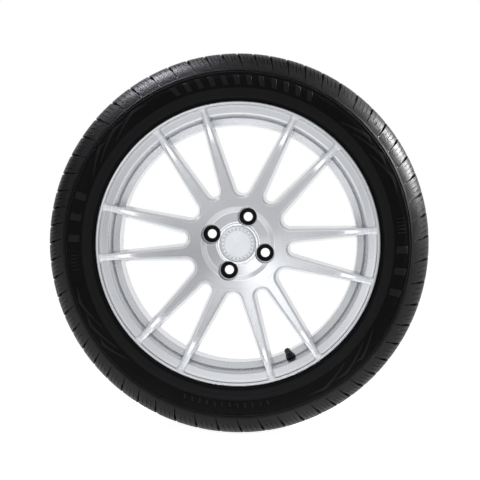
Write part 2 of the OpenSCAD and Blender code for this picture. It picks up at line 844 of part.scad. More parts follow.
// Coil spring between the core's shoulder and the pin's collar
module valve_core_spring() {
  sides = 6;
  per_turn = 14;
  rings = core_turns * per_turn;
  coil_r = (core_bore_r + pin_r) / 2;
  z0 = spring_low + core_wire_r + 0.02;
  z1 = spring_high - core_wire_r - 0.02;
  points = [
    for (i = [0:rings], s = [0:sides - 1])
      let (
        a = 360 * i / per_turn,
        b = 360 * s / sides,
        r = coil_r + core_wire_r * cos(b),
        z = z0 + (z1 - z0) * i / rings + core_wire_r * sin(b)
      )
      [r * cos(a), r * sin(a), z]
  ];
  color([0.6, 0.6, 0.6])
    stand() on_valve()
      polyhedron(
        points = points,
        faces = concat(
          [[for (s = [0:sides - 1]) s]],
          [for (i = [0:rings - 1], s = [0:sides - 1]) let (t = (s + 1) % sides)
            [i * sides + s, (i + 1) * sides + s, (i + 1) * sides + t, i * sides + t]],
          [[for (s = [sides - 1:-1:0]) rings * sides + s]]
        )
      );
}

module valve_cap() {
  flute_r = 0.6;
  color([0.06, 0.06, 0.06])
    stand() on_valve()
      difference() {
        turned([
          [stem_r + thread_gap, vcap_low],
          [vcap_r, vcap_low],
          [vcap_r, vcap_top - 0.8],
          [vcap_r - 0.8, vcap_top],
          [0, vcap_top],
          [0, vcap_bore_top],
          [stem_r + thread_gap, vcap_bore_top]
        ]);
        for (k = [0:vcap_flutes - 1])
          rotate([0, 0, 360 / vcap_flutes * k]) translate([vcap_r + flute_r * 0.5, 0, vcap_low - 1])
            cylinder(r = flute_r, h = vcap_top - vcap_low - 2, $fn = 16);
      }
}

module valve_cap_seal()
  color([0.15, 0.15, 0.15])
    stand() on_valve()
      translate([0, 0, vcap_seal_low]) cylinder(r = stem_r - 0.1, h = vcap_seal_t, $fn = 48);

wheel();
tyre();
centre_cap();
centre_cap_ring();
valve_body();
valve_stem();
valve_core_body();
valve_core_pin();
valve_core_seal();
valve_core_spring();
valve_cap();
valve_cap_seal();
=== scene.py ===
"""Looks of an all-season tyre on a twin-spoke alloy wheel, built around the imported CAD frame."""

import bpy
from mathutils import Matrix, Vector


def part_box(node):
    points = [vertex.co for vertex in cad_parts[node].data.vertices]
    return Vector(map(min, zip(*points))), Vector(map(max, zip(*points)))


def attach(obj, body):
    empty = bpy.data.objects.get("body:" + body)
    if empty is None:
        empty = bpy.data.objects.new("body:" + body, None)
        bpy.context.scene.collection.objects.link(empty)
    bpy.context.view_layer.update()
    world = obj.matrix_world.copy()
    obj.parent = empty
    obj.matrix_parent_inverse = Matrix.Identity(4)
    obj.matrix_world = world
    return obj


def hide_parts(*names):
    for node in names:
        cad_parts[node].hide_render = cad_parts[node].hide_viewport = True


bl_info = {
    "name": "All-season tyre on alloy wheel",
    "version": (1, 0, 0),
    "blender": (4, 5, 0),
    "location": "3D View > Sidebar > Wheel",
    "description": "Finishes the wheel, moulds the tyre, dresses the valve and sets the studio",
    "category": "Object",
}

from math import pi, radians

import bmesh
import bpy
import numpy as np
from bpy.props import (
    FloatProperty,
    FloatVectorProperty,
    IntProperty,
    PointerProperty,
)
from mathutils import Vector

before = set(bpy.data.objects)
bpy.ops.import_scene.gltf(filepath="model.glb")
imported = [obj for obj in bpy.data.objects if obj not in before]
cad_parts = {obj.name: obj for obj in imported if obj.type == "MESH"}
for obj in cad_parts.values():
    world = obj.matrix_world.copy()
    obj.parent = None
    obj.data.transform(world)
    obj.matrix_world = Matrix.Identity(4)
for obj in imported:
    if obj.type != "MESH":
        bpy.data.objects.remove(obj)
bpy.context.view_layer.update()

MM = 0.001
BODY = "wheel_assembly"
TYRE_LOW, TYRE_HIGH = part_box("tyre")
WHEEL_LOW, WHEEL_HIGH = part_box("wheel")
TYRE_R = round((TYRE_HIGH.z - TYRE_LOW.z) / 2, 5)
TYRE_HALF_W = round((TYRE_HIGH.y - TYRE_LOW.y) / 2, 5)
FLANGE_R = round((WHEEL_HIGH.x - WHEEL_LOW.x) / 2, 5)
FLANGE_Z = round((WHEEL_HIGH.y - WHEEL_LOW.y) / 2, 5)


def length(name, description, default, **more):
    return FloatProperty(
        name=name, description=description, default=default, unit="LENGTH", precision=5, **more
    )


def colour(name, description, default):
    return FloatVectorProperty(
        name=name, description=description, default=default, size=3, subtype="COLOR", min=0, max=1
    )


def share(name, description, default, **more):
    return FloatProperty(
        name=name, description=description, default=default, min=0, max=1, subtype="FACTOR", **more
    )


class TyreSettings(bpy.types.PropertyGroup):
    """Sizes and colours of the tyre"""

    pitch_count: IntProperty(
        name="Pitches", description="Tread pitches round the tyre", default=60, min=20, max=90
    )
    groove_depth: length("Groove depth", "Depth of the tread grooves", 7.5 * MM)
    cross_groove_w: length("Cross groove width", "Width of the grooves on the shoulder", 4.4 * MM)
    sipe_w: length("Sipe width", "Width of the thin cuts in the blocks", 0.8 * MM)
    relief_h: length("Ornament height", "How far the sidewall ornaments stand out", 0.8 * MM)
    rubber: colour("Rubber", "Colour of the sidewall's rubber", (0.0045, 0.0045, 0.005))
    tread: colour("Tread", "Colour of the tread's rubber", (0.004, 0.004, 0.0046))
    ornament: colour("Ornament", "Colour of the raised ornaments", (0.022, 0.022, 0.024))
    roughness: share("Roughness", "Roughness of the rubber", 0.5)


class WheelSettings(bpy.types.PropertyGroup):
    """Finish of the cast wheel and its cap"""

    lacquer: colour("Lacquer", "Colour of the silver lacquer", (0.645, 0.66, 0.69))
    # Painted highlight: this colour is painted onto the wheel's sharp edges and thin rings, standing in
    # for the light they catch
    edge: colour("Edges", "Colour of the wheel's sharp edges", (0.95, 0.955, 0.97))
    metal: share("Metal", "How metallic the lacquer looks", 0.8)
    roughness: share("Roughness", "Roughness of the lacquer", 0.18)
    # Painted shade: the bolt seats deep in their pockets are painted near black, standing in for the shade
    # and dark reflection there
    seat_shade: colour("Bolt seat", "Colour of the dark bolt seats", (0.012, 0.012, 0.013))
    ticks: IntProperty(
        name="Notches", description="Notches round the centre cap", default=24, min=8, max=72
    )


class ValveSettings(bpy.types.PropertyGroup):
    """Finish of the valve"""

    rubber: colour("Valve rubber", "Colour of the valve's rubber", (0.01, 0.01, 0.011))
    plastic: colour("Cap plastic", "Colour of the screw cap", (0.012, 0.012, 0.013))
    brass: colour("Brass", "Colour of the stem and the core", (0.72, 0.52, 0.24))


class StudioSettings(bpy.types.PropertyGroup):
    """Camera, lights and floor"""

    camera_distance: length("Camera distance", "From the front flange to the camera", 2.0)
    camera_right: length("Camera right", "How far the camera stands to the right", 0.0749)
    camera_up: length("Camera up", "How far the camera stands above the axis", 0.0517)
    lens: FloatProperty(
        name="Lens", description="Focal length", default=87.4, unit="CAMERA", min=10, max=400
    )
    aim_x: FloatProperty(
        name="Aim X", description="Pixel of the spin axis's vanishing point, across", default=281
    )
    aim_y: FloatProperty(
        name="Aim Y", description="Pixel of the spin axis's vanishing point, down", default=214
    )
    background: colour("Background", "Colour of the backdrop", (1, 1, 1))
    ambient: share("Ambient", "Light that comes from all round", 0.12)
    room: share("Room", "Level of the opening round the camera, as metal shows it", 0.56)
    tent: share("Tent", "Level of the tent round the front, as metal shows it", 0.95)
    flags: share("Flags", "Level of the flags beside the wheel, as metal shows them", 0.18)


# Mesh helpers


def around(r, z, a):
    """Points at radius r, height z towards the viewer and angle a, in the row frame."""
    r, z, a = np.broadcast_arrays(r, z, a)
    return np.stack([r * np.cos(a), -z, r * np.sin(a)], -1)


def grid_faces(rows, cols, wrap_rows, wrap_cols, start):
    i = np.arange(rows if wrap_rows else rows - 1)[:, None]
    j = np.arange(cols if wrap_cols else cols - 1)[None, :]
    i2, j2 = (i + 1) % rows, (j + 1) % cols
    quads = [i * cols + j, i * cols + j2, i2 * cols + j2, i2 * cols + j]
    return np.stack(quads, -1).reshape(-1, 4) + start


def solid(name, grids, material, body=BODY, weld=0.0, sharp=35):
    """One closed mesh from grids of points: (points, wrap_rows, wrap_cols) each."""
    points, faces, count = [], [], 0
    for grid, wrap_rows, wrap_cols in grids:
        rows, cols = grid.shape[:2]
        points.append(grid.reshape(-1, 3))
        faces.append(grid_faces(rows, cols, wrap_rows, wrap_cols, count))
        count += rows * cols
    mesh = bpy.data.meshes.new(name)
    mesh.from_pydata(np.concatenate(points), [], np.concatenate(faces).tolist())
    bm = bmesh.new()
    bm.from_mesh(mesh)
    if weld:
        bmesh.ops.remove_doubles(bm, verts=bm.verts, dist=weld)
        bmesh.ops.dissolve_degenerate(bm, edges=bm.edges, dist=weld)
    bmesh.ops.recalc_face_normals(bm, faces=bm.faces)
    bm.to_mesh(mesh)
    bm.free()
    mesh.shade_smooth()
    mesh.set_sharp_from_angle(angle=radians(sharp))
    mesh.materials.append(material)
    piece = bpy.data.objects.new(name, mesh)
    bpy.context.scene.collection.objects.link(piece)
    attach(piece, body)
    return piece


# Material helpers


class Finish:
    """A procedural material: its node tree and short ways to add nodes to it."""

    def __init__(self, name, base, roughness, metallic=0.0):
        self.material = bpy.data.materials.new(name)
        self.material.use_nodes = True
        self.tree = self.material.node_tree
        self.shader = self.tree.nodes["Principled BSDF"]
        self.shader.inputs["Base Color"].default_value = (*base, 1)
        self.shader.inputs["Roughness"].default_value = roughness
        self.shader.inputs["Metallic"].default_value = metallic
        self.place = self.add("ShaderNodeTexCoord").outputs["Object"]

    def add(self, kind, inputs=(), **options):
        node = self.tree.nodes.new(kind)
        for key, value in options.items():
            setattr(node, key, value)
        for key, value in dict(inputs).items():
            if isinstance(value, bpy.types.NodeSocket):
                self.tree.links.new(value, node.inputs[key])
            else:
                node.inputs[key].default_value = value
        return node

    def link(self, output, name):
        self.tree.links.new(output, self.shader.inputs[name])

    def math(self, operation, a, b=0.0):
        return self.add("ShaderNodeMath", {0: a, 1: b}, operation=operation).outputs[0]

    def noise(self, scale, detail=2.0, place=None):
        node = self.add(
            "ShaderNodeTexNoise", {"Vector": place or self.place, "Scale": scale, "Detail": detail}
        )
        return node.outputs["Fac"]

    def span(self, value, low, high, to_low=0.0, to_high=1.0):
        node = self.add(
            "ShaderNodeMapRange", {0: value, 1: low, 2: high, 3: to_low, 4: to_high}
        )
        return node.outputs[0]

    def band(self, value, low, high, soft):
        """1 where value lies between low and high, with soft edges."""
        rise = self.span(value, low - soft, low + soft)
        fall = self.span(value, high - soft, high + soft, 1, 0)
        return self.math("MULTIPLY", rise, fall)

    def mix(self, amount, a, b):
        node = self.add("ShaderNodeMix", {0: amount}, data_type="RGBA")
        for socket, value in ((node.inputs[6], a), (node.inputs[7], b)):
            if isinstance(value, bpy.types.NodeSocket):
                self.tree.links.new(value, socket)
            else:
                socket.default_value = (*value, 1)
        return node.outputs[2]

    def bump(self, height, distance, strength=1.0, normal=None):
        inputs = {"Height": height, "Distance": distance, "Strength": strength}
        if normal is not None:
            inputs["Normal"] = normal
        return self.add("ShaderNodeBump", inputs).outputs["Normal"]

    def ease(self, value, low, high, to_low=0.0, to_high=1.0):
        node = self.add(
            "ShaderNodeMapRange",
            {0: value, 1: low, 2: high, 3: to_low, 4: to_high},
            interpolation_type="SMOOTHSTEP",
        )
        return node.outputs[0]

    def vector(self, operation, a, b):
        return self.add("ShaderNodeVectorMath", {0: a, 1: b}, operation=operation).outputs[0]

    def polar(self):
        """Radius from the spin axis, angle in turns and distance along the axis."""
        x, y, z = self.add("ShaderNodeSeparateXYZ", {0: self.place}).outputs
        square = self.math("ADD", self.math("MULTIPLY", x, x), self.math("MULTIPLY", z, z))
        radius = self.math("SQRT", square)
        turns = self.math("DIVIDE", self.math("ARCTAN2", z, x), 2 * pi)
        return radius, turns, y


def use_material(node_name, material):
    """Gives a carried-over CAD node its finish."""
    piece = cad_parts[node_name]
    piece.data.materials.clear()
    piece.data.materials.append(material)
    return piece


# Tyre shape, in millimetres: radius r and height z over the centre plane

SECTION_R = 282.0
CROWN_R = 1300.0
TREAD_HALF_W = 70.0
SHOULDER_R = 302.0
UPPER_BULGE = 0.0175
LOWER_BULGE = 0.0045
PITCH_START = 1.7
PITCH_WAVES = ((1, 1.55, 57), (2, 0.5, 29), (3, 2.0, -38), (4, 0.5, 94), (5, 1.05, 72))
OUTER_GROOVE_Z = 52.0
INNER_GROOVE_Z = 17.0
RIB_GROOVE_W = 9.0
BAND_IN_R = 269.0
BAND_OUT_R = 293.5
SEGMENTS = 360


def side_z(r, relief):
    bulge = np.where(np.asarray(r) > SECTION_R, UPPER_BULGE, LOWER_BULGE)
    return TYRE_HALF_W / MM - relief - bulge * (np.asarray(r) - SECTION_R) ** 2


def crown(z):
    return TYRE_R / MM - CROWN_R + np.sqrt(CROWN_R**2 - np.asarray(z, float) ** 2)


def cubic(a, b, c, d, t):
    t = np.asarray(t)[:, None]
    s = 1 - t
    return s**3 * a + 3 * s * s * t * b + 3 * s * t * t * c + t**3 * d


def shoulder(t, relief):
    """Points (r, z) on the rounded shoulder, from the flat tread at 0 to the sidewall at 1."""
    start = np.array([float(crown(TREAD_HALF_W)), TREAD_HALF_W])
    end = np.array([SHOULDER_R, float(side_z(SHOULDER_R, relief))])
    first = start + np.array([-TREAD_HALF_W * 20 / CROWN_R, 20.0])
    return cubic(start, first, end + np.array([14.0, -7.0]), end, t)


def normals(path):
    """Outward normals of a path of points (r, z) that runs from the tread down the side."""
    step = np.gradient(path, axis=0)
    step /= np.linalg.norm(step, axis=1)[:, None]
    return np.stack([step[:, 1], -step[:, 0]], -1)


def pitch_angle(i, count):
    """Angle in degrees of tread pitch i, with pitches that swell and shrink round the tyre."""
    a = PITCH_START + 360.0 / count * np.asarray(i, float)
    return a + sum(w * np.sin(np.radians(k * a + p)) for k, w, p in PITCH_WAVES)


class Cut:
    """A groove or sipe across a rib: place in the pitch, half width and depth along the rows."""

    def __init__(self, place, half_w, depth):
        self.place, self.half_w, self.depth = place, half_w, depth


def rib(path, out, shift, cuts, count, phase, sink_start, sink_end, side=1):
    """Closed ring of tread blocks: rows along the path, columns at the walls of every cut."""
    rows = len(path)
    index = np.arange(count)
    start = pitch_angle(index + phase, count)
    size = pitch_angle(index + phase + 1, count) - start
    angles, depths = [], []
    for pitch in range(count):
        for cut in sorted(cuts, key=lambda c: c.place):
            middle = start[pitch] + cut.place * size[pitch]
            for edge, deep in ((-1, 0), (-0.8, 1), (0.8, 1), (1, 0)):
                angles.append(
                    np.radians(middle) + (shift + edge * cut.half_w) / path[:, 0]
                )
                depths.append(cut.depth * deep)
    angles, depths = np.array(angles).T, np.array(depths).T
    r = path[:, :1] - out[:, :1] * depths
    z = path[:, 1:] - out[:, 1:] * depths
    first = path[0] - np.array([1.0, 0.0]) * sink_start
    last = path[-1] - sink_end
    r = np.vstack([np.full(r.shape[1], first[0]), r, np.full(r.shape[1], last[0])])
    z = np.vstack([np.full(z.shape[1], first[1]), z, np.full(z.shape[1], last[1])])
    angles = np.vstack([angles[:1], angles, angles[-1:]])
    return around(r * MM, side * z * MM, angles), True, True


def smooth(x, low, high):
    t = np.clip((np.asarray(x, float) - low) / (high - low), 0, 1)
    return t * t * (3 - 2 * t)


def shoulder_rib(s, phase, side):
    relief = s.relief_h / MM
    flat = np.array([OUTER_GROOVE_Z + RIB_GROOVE_W / 2, 57.2, 63.0, TREAD_HALF_W])
    path = np.vstack([
        np.stack([crown(flat), flat], -1),
        shoulder(np.linspace(0.09, 1, 13), relief),
    ])
    path[0, 0] -= 0.5
    out = normals(path)
    r, z = path.T
    shift = np.tan(radians(10)) * (r - SHOULDER_R) - np.tan(radians(8)) * z
    full = s.groove_depth / MM
    main = Cut(
        0.0,
        0.8 + (s.cross_groove_w / MM / 2 - 0.8) * smooth(r, 313, 323),
        (full - 0.6) * smooth(r, 302.5, 322) ** 0.7,
    )
    thin = [
        Cut(place, s.sipe_w / MM / 2, 4.0 * smooth(r, low, low + 4) * smooth(z, 56, 60))
        for place, low in ((0.27, 316), (0.5, 313), (0.73, 316))
    ]
    return rib(
        path, out, shift, [main] + thin, s.pitch_count, phase,
        full + 1.2, np.array([1.0, 3.0]), side,
    )


def middle_rib(s, z0, z1, sweep, cuts, phase, side=1):
    """Rib between two round grooves; cuts are (place, half width, depth, from z, to z)."""
    z = np.linspace(z0, z1, 9)
    z[1], z[-2] = z0 + 0.7, z1 - 0.7
    path = np.stack([crown(z), z], -1)
    path[[0, -1], 0] -= 0.5
    out = np.tile([1.0, 0.0], (len(z), 1))
    shift = -np.tan(radians(sweep)) * z
    shaped = [
        Cut(place, np.full(len(z), half_w), depth * smooth(z, low - 2, low) * smooth(-z, -high - 2, -high))
        for place, half_w, depth, low, high in cuts
    ]
    sink = s.groove_depth / MM + 1.2
    return rib(path, out, shift, shaped, s.pitch_count, phase, sink, np.array([sink, 0.0]), side)


def carcass_path(s):
    """Outline of the tyre without its blocks, from the crown to the bead and back inside."""
    relief = s.relief_h / MM
    deep = s.groove_depth / MM
    floor_z = np.linspace(0, OUTER_GROOVE_Z + RIB_GROOVE_W / 2 + 1.5, 12)
    floor = np.stack([crown(floor_z) - deep, floor_z], -1)
    under = shoulder(np.linspace(0.2, 0.9, 8), relief)
    under = under - normals(under) * np.linspace(deep + 2, 4, 8)[:, None]
    top = np.array([SHOULDER_R - 0.4])
    radii = np.concatenate([
        top,
        [299.5, 299.0, 298.2, 297.7, 295.9, 295.4, 294.6, 294.1],
        np.linspace(BAND_OUT_R, BAND_IN_R, 14),
    ])
    ridge = np.where(np.abs(np.abs(radii - 296.8) - 1.8) < 0.45, 1.0, 0.0)
    side = np.stack([radii, side_z(radii, relief) + ridge], -1)
    low = np.linspace(BAND_IN_R - 0.8, 255.5, 12)
    lower = np.stack([low, side_z(low, relief) + 0.6 + 0.25 * ((low > 261) & (low < 263))], -1)
    protector = float(side_z(254.5, relief))
    foot = np.array([
        [253.0, protector - 0.3],
        [251.2, protector - 1.6],
        [249.6, protector - 3.6],
        [248.0, FLANGE_Z / MM - 2.6],
        [FLANGE_R / MM + 0.4, FLANGE_Z / MM - 5],
        [FLANGE_R / MM + 0.2, FLANGE_Z / MM - 9],
        [FLANGE_R / MM - 2, 101.3],
        [231.2, 101.3],
        [228.8, 99.0],
        [227.5, 84.1],
        [230.8, 83.1],
        [242.6, 86.6],
        [254.0, 99.0],
        [270.0, 110.0],
        [288.0, 110.0],
        [SHOULDER_R, 101.0],
        [310.0, 90.0],
        [315.5, TREAD_HALF_W],
        [318.0, 0.0],
    ])
    return np.vstack([floor, under, side, lower, foot])


def ring_solid(path, segments=SEGMENTS):
    a = np.linspace(0, 2 * pi, segments, endpoint=False)
    grid = around(path[:, :1] * MM, path[:, 1:] * MM, a[None, :])
    return grid, True, True


# Sidewall ornaments


def raised_pad(corner, relief, across=6, side=1):
    """Closed pad on the sidewall. corner(u, v) gives radius in mm and angle in radians."""
    u = np.concatenate([[0.0], np.linspace(0.06, 0.94, across), [1.0]])
    v = np.array([0.0, 0.1, 0.5, 0.9, 1.0])
    uu, vv = np.meshgrid(u, v, indexing="ij")
    r, a = corner(uu, vv)
    edge = (uu == 0) | (uu == 1) | (vv == 0) | (vv == 1)
    top = side_z(r, relief) + np.where(edge, -0.3, relief - 0.02)
    low = side_z(r, relief) + np.where(edge, -0.3, -1.2)
    upper = around(r * MM, side * top * MM, a)
    lower = around(r * MM, side * low * MM, a)
    return np.concatenate([upper, lower[::-1]]), True, False


def bar(angle, r0, r1, width, slant):
    def corner(u, v):
        r = r0 + (r1 - r0) * u
        return r, radians(angle) + ((v - 0.5) * width + slant * (2 * u - 1)) / r
    return corner


def bars(start, end, count, r0, r1, width, slant=0.0):
    return [bar(a, r0, r1, width, slant) for a in np.linspace(start, end, count)]


def slash(start, peak, end, low, high):
    """Tapered slash: starts as a point, peaks at the outer edge and ends in a long thin tail."""
    size = high - low

    def corner(u, v):
        a = start + (end - start) * u
        outer = np.interp(a, [start, peak, end], [low + 0.7 * size, high, low + 0.1 * size])
        inner = np.interp(a, [start, peak, end], [low + 0.68 * size, high - 0.3 * size, low])
        return inner + (outer - inner) * v, np.radians(a)

    return corner


# Start, peak and end of each slash in a group, and where the groups start, in degrees
SLASHES = ((0, 6, 17.2), (9.8, 14.5, 27), (19.6, 22.3, 32.8))
SLASH_STARTS = (17, 122.5, 194.5, 295.5)


def outer_ornaments():
    low, high = BAND_IN_R + 3, BAND_OUT_R - 1.5
    rows = bars(64, 112, 12, low + 1, high - 2, 10.0, 2.5)
    rows += bars(251, 281, 12, low, low + 9, 3.0, 1.0)
    for side in (0, 180):
        rows += bars(side - 17, side - 2, 3, low, high, 13.0)
        rows += bars(side + 4, side + 9, 5, low + 3, high - 3, 1.8)
    sweeps = [
        slash(turn + a, turn + b, turn + c, low, high)
        for turn in SLASH_STARTS
        for a, b, c in SLASHES
    ]
    return rows, sweeps


# Finishes


def rubber_finish(s):
    f = Finish("tyre_rubber", s.rubber, s.roughness)
    f.shader.inputs["Specular IOR Level"].default_value = 0.1
    radius, turns, along = f.polar()
    side = f.span(f.math("ABSOLUTE", along), 0.1, 0.104)
    band = f.math("MULTIPLY", side, f.band(radius, BAND_IN_R * MM, BAND_OUT_R * MM, 0.0006))
    lower = f.math("MULTIPLY", side, f.band(radius, 0.2522, BAND_IN_R * MM - 0.001, 0.0008))
    ring = f.math("MULTIPLY", side, f.band(radius, BAND_OUT_R * MM + 0.0004, 0.2996, 0.0003))
    hatch = f.math("SINE", f.math("MULTIPLY", turns, 2 * pi * 720))
    grain = f.noise(900, 3)
    cloud = f.noise(14, 3)
    rough = f.math("ADD", f.span(cloud, 0.3, 0.7, -0.04, 0.04), s.roughness)
    rough = f.math("ADD", rough, f.math("MULTIPLY", band, 0.2))
    rough = f.math("SUBTRACT", rough, f.math("MULTIPLY", lower, 0.06))
    f.link(rough, "Roughness")
    # Painted shade and sheen: the same rubber is painted darker on the serrated band, for the shade in its
    # serrations, and paler on the lower band and on the ring below the shoulder, for the sheen they catch
    dark = tuple(0.5 * c for c in s.rubber)
    pale = tuple(3.2 * c for c in s.rubber)
    light = tuple(2.4 * c for c in s.rubber)
    base = f.mix(f.span(cloud, 0.35, 0.65), tuple(0.85 * c for c in s.rubber), s.rubber)
    base = f.mix(band, base, dark)
    base = f.mix(lower, base, pale)
    f.link(f.mix(ring, base, light), "Base Color")
    height = f.math("MULTIPLY", f.math("MULTIPLY", hatch, band), 0.35)
    fine = f.bump(grain, 0.00008)
    f.link(f.bump(height, 0.0003, 1.0, fine), "Normal")
    return f.material


def tread_finish(s):
    f = Finish("tread_rubber", s.tread, s.roughness - 0.08)
    f.shader.inputs["Specular IOR Level"].default_value = 0.24
    grain = f.noise(800, 3)
    cloud = f.noise(30, 3)
    f.link(f.span(cloud, 0.3, 0.7, s.roughness - 0.13, s.roughness - 0.03), "Roughness")
    f.link(f.mix(cloud, tuple(0.75 * c for c in s.tread), s.tread), "Base Color")
    f.link(f.bump(grain, 0.00003), "Normal")
    return f.material


def ornament_finish(s):
    f = Finish("ornament_rubber", s.ornament, s.roughness + 0.05)
    f.shader.inputs["Specular IOR Level"].default_value = 0.12
    grain = f.noise(700, 2)
    cloud = f.noise(25, 2)
    dark = tuple(0.75 * c for c in s.ornament)
    f.link(f.mix(cloud, dark, s.ornament), "Base Color")
    f.link(f.span(cloud, 0.3, 0.7, s.roughness, s.roughness + 0.1), "Roughness")
    f.link(f.bump(grain, 0.00005), "Normal")
    return f.material


# Wheel face, in metres, degrees and shares: cone, bend, bevels, painted edge highlights and painted
# highlight lines
HUB_EASE_R = 0.037
SLOPE_FULL_R = 0.039
BEND_R = 0.186
BEND_EASE = 0.011
RIM_FROM_R = 0.224
INNER_SLOPE = 8.8
OUTER_SLOPE = 5.0
BEVEL_SHARE = 0.5
EDGE_HIGHLIGHT = 0.8
HIGHLIGHT_LINES = (0.0558, 0.064, 0.2256, 0.2362)
BEVEL_TO_R = 0.206
BOLT_COUNT = 4
BOLT_R = 0.050
BOLT_ANGLE = 70.5
# Painted shade: where the near-black seat colour is painted, round each bolt's axis and below a depth
SEAT_SHADE_R = 0.0152
SEAT_SHADE_Y = -0.058


def dished(f, radius, rounded):
    """Rounds the steps between the hub's face and the spokes' slopes, where a face looks front."""
    rise = f.ease(radius, HUB_EASE_R, SLOPE_FULL_R, 0, radians(INNER_SLOPE))
    fall = f.ease(radius, BEND_R - BEND_EASE, BEND_R + BEND_EASE, 0, radians(INNER_SLOPE - OUTER_SLOPE))
    slope = f.math("SUBTRACT", rise, fall)
    inwards = f.math("DIVIDE", f.math("MULTIPLY", f.math("SINE", slope), -1), radius)
    x, y, z = f.add("ShaderNodeSeparateXYZ", {0: f.place}).outputs
    front = f.math("MULTIPLY", f.math("COSINE", slope), -1)
    ideal = f.add(
        "ShaderNodeCombineXYZ",
        {0: f.math("MULTIPLY", inwards, x), 1: front, 2: f.math("MULTIPLY", inwards, z)},
    ).outputs[0]
    flat = f.add("ShaderNodeNewGeometry").outputs["True Normal"]
    facing = f.math("MULTIPLY", f.add("ShaderNodeSeparateXYZ", {0: flat}).outputs[1], -1)
    inside = f.span(radius, BEVEL_TO_R, BEVEL_TO_R + 0.002, 1, 0)
    slanted = f.math("MULTIPLY", f.span(facing, 0.66, 0.7, 0, BEVEL_SHARE), inside)
    faces = f.math("MAXIMUM", f.span(facing, 0.972, 0.98), slanted)
    mask = f.math("MULTIPLY", faces, f.band(radius, HUB_EASE_R, RIM_FROM_R, 0.002))
    change = f.add(
        "ShaderNodeVectorMath",
        {0: f.vector("SUBTRACT", ideal, flat), "Scale": mask},
        operation="SCALE",
    ).outputs[0]
    total = f.vector("ADD", rounded, change)
    return f.add("ShaderNodeVectorMath", {0: total}, operation="NORMALIZE").outputs[0]


def alloy_finish(s):
    f = Finish("silver_lacquer", s.lacquer, s.roughness, s.metal)
    radius, turns, along = f.polar()
    # Distance from the nearest bolt's axis, by folding the angle into one quarter
    step = 2 * pi / BOLT_COUNT
    angle = f.math("SUBTRACT", f.math("MULTIPLY", turns, 2 * pi), radians(BOLT_ANGLE) - step / 2)
    folded = f.math("SUBTRACT", f.math("FLOORED_MODULO", angle, step), step / 2)
    px = f.math("SUBTRACT", f.math("MULTIPLY", radius, f.math("COSINE", folded)), BOLT_R)
    pz = f.math("MULTIPLY", radius, f.math("SINE", folded))
    far = f.math("SQRT", f.math("ADD", f.math("MULTIPLY", px, px), f.math("MULTIPLY", pz, pz)))
    # Painted shade: near each bolt's axis and deep in its pocket, the seat is painted near black and not
    # metallic, for the shade there
    near = f.span(far, SEAT_SHADE_R, SEAT_SHADE_R + 0.0006, 1, 0)
    seat_shade = f.math("MULTIPLY", near, f.span(along, SEAT_SHADE_Y - 0.001, SEAT_SHADE_Y + 0.001))
    cloud = f.noise(30, 3)
    flake = f.noise(2600, 2)
    dark = tuple(0.97 * c for c in s.lacquer)
    silver = f.mix(cloud, dark, s.lacquer)
    # Painted highlight: the bevel's turned normal marks the sharp edges, which are painted paler for the
    # light that rounded edges catch
    edge = f.add("ShaderNodeBevel", {"Radius": 0.0014}, samples=6).outputs["Normal"]
    flat = f.add("ShaderNodeNewGeometry").outputs["True Normal"]
    same = f.add("ShaderNodeVectorMath", {0: edge, 1: flat}, operation="DOT_PRODUCT")
    sharp = f.span(same.outputs["Value"], 0.93, 0.99, EDGE_HIGHLIGHT, 0)
    sharp = f.math("MULTIPLY", sharp, f.span(radius, BEVEL_TO_R, BEVEL_TO_R + 0.002, 1, 0))
    silver = f.mix(sharp, silver, s.edge)
    # Painted highlight: thin paler rings at the hub's step and the rim's lip, for the light their edges
    # catch
    highlight_lines = 0
    for line in HIGHLIGHT_LINES:
        highlight_lines = f.math("ADD", highlight_lines, f.band(radius, line - 0.0004, line + 0.0004, 0.0003))
    silver = f.mix(f.math("MULTIPLY", highlight_lines, 0.6), silver, s.edge)
    f.link(f.mix(seat_shade, silver, s.seat_shade), "Base Color")
    f.link(f.math("SUBTRACT", s.metal, f.math("MULTIPLY", seat_shade, s.metal)), "Metallic")
    rough = f.span(cloud, 0.3, 0.7, s.roughness - 0.01, s.roughness + 0.01)
    barrel = f.span(radius, RIM_FROM_R - 0.02, RIM_FROM_R - 0.01, 0, 0.1)
    rough = f.math("ADD", rough, barrel)
    f.link(f.math("ADD", rough, f.math("MULTIPLY", seat_shade, 0.3)), "Roughness")
    f.shader.inputs["Coat Weight"].default_value = 0.35
    f.shader.inputs["Coat Roughness"].default_value = 0.12
    f.link(f.bump(flake, 0.00002, 0.15, dished(f, radius, edge)), "Normal")
    return f.material


def cap_finish(s):
    f = Finish("cap_lacquer", s.lacquer, 0.28, s.metal)
    radius, turns, along = f.polar()
    cloud = f.noise(60, 2)
    f.link(f.span(cloud, 0.3, 0.7, 0.27, 0.3), "Roughness")
    # A ring of short notches between two fine circles, sunk by bump and painted darker as painted shade in
    # the hollows
    part = f.math("FRACT", f.math("MULTIPLY", turns, s.ticks))
    notch = f.math("MULTIPLY", f.band(part, 0.3, 0.7, 0.04), f.band(radius, 0.0245, 0.0276, 0.0002))
    circles = f.math("ADD", f.band(radius, 0.0235, 0.0237, 0.0001), f.band(radius, 0.0283, 0.0286, 0.0001))
    cut = f.math("MINIMUM", f.math("ADD", notch, circles), 1)
    pale = tuple(1.12 * c for c in s.lacquer)
    # Painted shade: the dark colour mixed into the notches and circles
    dark = tuple(0.3 * c for c in s.lacquer)
    silver = f.mix(cloud, tuple(1.08 * c for c in s.lacquer), pale)
    f.link(f.mix(f.math("MULTIPLY", cut, 0.5), silver, dark), "Base Color")
    hollow = f.bump(f.math("SUBTRACT", 1, cut), 0.0003, 0.6)
    f.link(f.bump(f.noise(2600, 2), 0.00001, 0.15, hollow), "Normal")
    f.shader.inputs["Coat Weight"].default_value = 0.3
    f.shader.inputs["Coat Roughness"].default_value = 0.15
    return f.material


